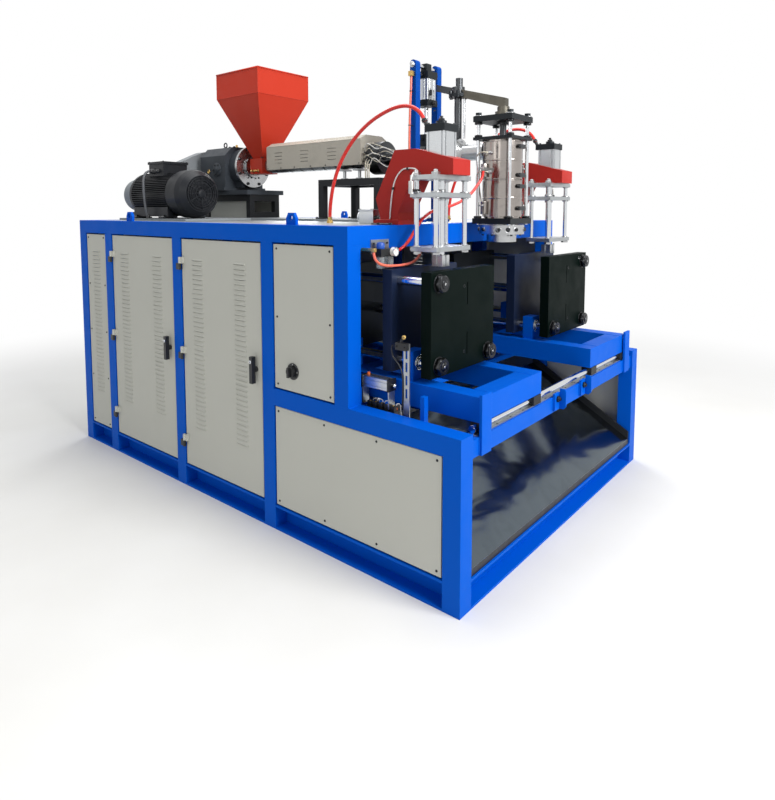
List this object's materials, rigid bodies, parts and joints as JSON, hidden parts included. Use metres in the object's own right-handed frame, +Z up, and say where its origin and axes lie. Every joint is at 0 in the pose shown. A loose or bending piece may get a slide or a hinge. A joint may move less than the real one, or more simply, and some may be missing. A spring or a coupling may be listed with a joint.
{
  "type": "extrusion blow moulding machine",
  "caption": "Double station extrusion blow moulding machine: belt driven extruder with hopper and lifting die head, shuttling clamps on tie bars, blow units on arms, louvred cabinet, chute",
  "frame": {"origin": "centre of the footprint on the floor", "axes": "+X along the machine towards the clamps and the chute, +Y away from the door side, +Z up"},
  "size_m": [2.96, 2.004, 2.4373],
  "materials": {
    "frame_blue": "semi-gloss blue enamel on steel tube",
    "deck_steel": "plain mill finish steel sheet and plate",
    "panel_putty": "satin putty grey enamel on sheet steel",
    "black_fittings": "matt black moulded and coated fittings",
    "ground_steel": "ground and hard chromed rod",
    "drive_black": "satin charcoal enamel on castings",
    "cast_wheels": "bare turned cast iron",
    "belt_rubber": "black ribbed rubber",
    "hopper_red": "gloss red enamel on sheet and castings",
    "machined_steel": "turned and milled bright steel",
    "dark_plates": "satin black green enamel on machined plate",
    "air_hose": "gloss red polyurethane air hose"
  },
  "bodies": {
    "base": {"base_skid": "frame_blue", "cabinet_frame": "frame_blue", "bed_frame": "frame_blue", "deck_plate": "deck_steel", "side_panels": "panel_putty", "hinge_pins": "black_fittings", "slide_rails": "ground_steel", "chute": "deck_steel", "air_service": "black_fittings", "air_valves": "black_fittings", "switch_bar": "ground_steel", "electrical_panel": "deck_steel", "hydraulic_tank": "drive_black", "shuttle_cylinders": "ground_steel", "lift_posts": "frame_blue", "blow_arms": "hopper_red", "blow_units": "machined_steel", "hose_arc_near": "air_hose", "hose_arc_far": "air_hose", "hose_post": "air_hose", "hose_loop": "air_hose", "hose_head": "air_hose"},
    "extruder": {"extruder_platform": "deck_steel", "motor_body": "drive_black", "motor_fan_cover": "drive_black", "drive_belts": "belt_rubber", "belt_guard": "drive_black", "gearbox_housing": "drive_black", "extruder_stands": "black_fittings", "feed_throat": "hopper_red", "hopper": "hopper_red", "barrel": "machined_steel", "barrel_cover": "panel_putty", "melt_adaptor": "machined_steel", "adjuster_column": "dark_plates", "head_plates": "dark_plates", "head_rods": "ground_steel", "head_body": "machined_steel", "die_ring": "machined_steel"},
    "motor_shaft": {"motor_pulley": "cast_wheels"},
    "gear_shaft": {"gearbox_pulley": "cast_wheels"},
    "screw": {"extruder_screw": "ground_steel"},
    "lift_cylinder": {"lift_cylinder": "black_fittings"},
    "lift_rod": {"lift_rod": "ground_steel"},
    "door_left": {"door_left": "panel_putty"},
    "door_right": {"door_right": "panel_putty"},
    "latch_left": {"latch_left": "black_fittings"},
    "latch_right": {"latch_right": "black_fittings"},
    "isolator_knob": {"isolator_knob": "black_fittings"},
    "carriage_near": {"carriage_near": "frame_blue"},
    "carriage_far": {"carriage_far": "frame_blue"},
    "front_near": {"front_platen_near": "dark_plates", "clamp_frame_near": "dark_plates"},
    "front_far": {"front_platen_far": "dark_plates", "clamp_frame_far": "dark_plates"},
    "rear_near": {"rear_platen_near": "dark_plates"},
    "rear_far": {"rear_platen_far": "dark_plates"},
    "blow_pin_near": {"blow_pin_near": "machined_steel"},
    "blow_pin_far": {"blow_pin_far": "machined_steel"}
  },
  "joints": [
    {"name": "extruder_tilt", "type": "hinge", "parent": "base", "child": "extruder", "pos_m": [-1.438, 0, 1.482], "axis": [0, -1, 0], "range_deg": [0, 1.5]},
    {"name": "lift_swing", "type": "hinge", "parent": "base", "child": "lift_cylinder", "pos_m": [0.608, 0, 2.294], "axis": [0, 1, 0], "range_deg": [0, 2.03]},
    {"name": "lift_slide", "type": "slide", "parent": "lift_cylinder", "child": "lift_rod", "axis": [0, 0, 1], "range_m": [0, 0.0535]},
    {"name": "motor_turn", "type": "hinge", "parent": "extruder", "child": "motor_shaft", "pos_m": [-1.406, -0.57, 1.6173], "axis": [1, 0, 0], "continuous": true},
    {"name": "gear_turn", "type": "hinge", "parent": "extruder", "child": "gear_shaft", "pos_m": [-1.406, -0.06, 1.7823], "axis": [1, 0, 0], "continuous": true},
    {"name": "screw_turn", "type": "hinge", "parent": "extruder", "child": "screw", "pos_m": [-0.5, 0, 1.82], "axis": [1, 0, 0], "continuous": true},
    {"name": "shuttle_near", "type": "slide", "parent": "base", "child": "carriage_near", "axis": [0, 1, 0], "range_m": [0, 0.545]},
    {"name": "shuttle_far", "type": "slide", "parent": "base", "child": "carriage_far", "axis": [0, 1, 0], "range_m": [-0.545, 0]},
    {"name": "clamp_near", "type": "slide", "parent": "carriage_near", "child": "front_near", "axis": [1, 0, 0], "range_m": [0, 0.1]},
    {"name": "rear_near_slide", "type": "slide", "parent": "carriage_near", "child": "rear_near", "axis": [1, 0, 0], "range_m": [-0.1, 0]},
    {"name": "clamp_far", "type": "slide", "parent": "carriage_far", "child": "front_far", "axis": [1, 0, 0], "range_m": [0, 0.1]},
    {"name": "rear_far_slide", "type": "slide", "parent": "carriage_far", "child": "rear_far", "axis": [1, 0, 0], "range_m": [-0.1, 0]},
    {"name": "blow_near", "type": "slide", "parent": "base", "child": "blow_pin_near", "axis": [0, 0, 1], "range_m": [-0.08, 0]},
    {"name": "blow_far", "type": "slide", "parent": "base", "child": "blow_pin_far", "axis": [0, 0, 1], "range_m": [-0.08, 0]},
    {"name": "door_left_hinge", "type": "hinge", "parent": "base", "child": "door_left", "pos_m": [-1.061, -0.9783, 0.755], "axis": [0, 0, -1], "range_deg": [0, 110]},
    {"name": "door_right_hinge", "type": "hinge", "parent": "base", "child": "door_right", "pos_m": [-0.305, -0.9783, 0.755], "axis": [0, 0, -1], "range_deg": [0, 110]},
    {"name": "latch_left_turn", "type": "hinge", "parent": "door_left", "child": "latch_left", "pos_m": [-0.439, -0.966, 0.755], "axis": [0, 1, 0], "range_deg": [0, 90]},
    {"name": "latch_right_turn", "type": "hinge", "parent": "door_right", "child": "latch_right", "pos_m": [0.313, -0.966, 0.755], "axis": [0, 1, 0], "range_deg": [0, 90]},
    {"name": "isolator_turn", "type": "hinge", "parent": "base", "child": "isolator_knob", "pos_m": [0.575, -0.97, 0.787], "axis": [0, 1, 0], "range_deg": [0, 90]}
  ],
  "couplings": [
    {"joint": "lift_swing", "follows": "extruder_tilt", "ratio": 1.3467},
    {"joint": "lift_slide", "follows": "extruder_tilt", "m_per_rad": 2.0321},
    {"joint": "gear_turn", "follows": "motor_turn", "ratio": 0.57692},
    {"joint": "screw_turn", "follows": "motor_turn", "ratio": 0.028846},
    {"joint": "rear_near_slide", "follows": "clamp_near", "ratio": -1},
    {"joint": "rear_far_slide", "follows": "clamp_far", "ratio": -1}
  ]
}
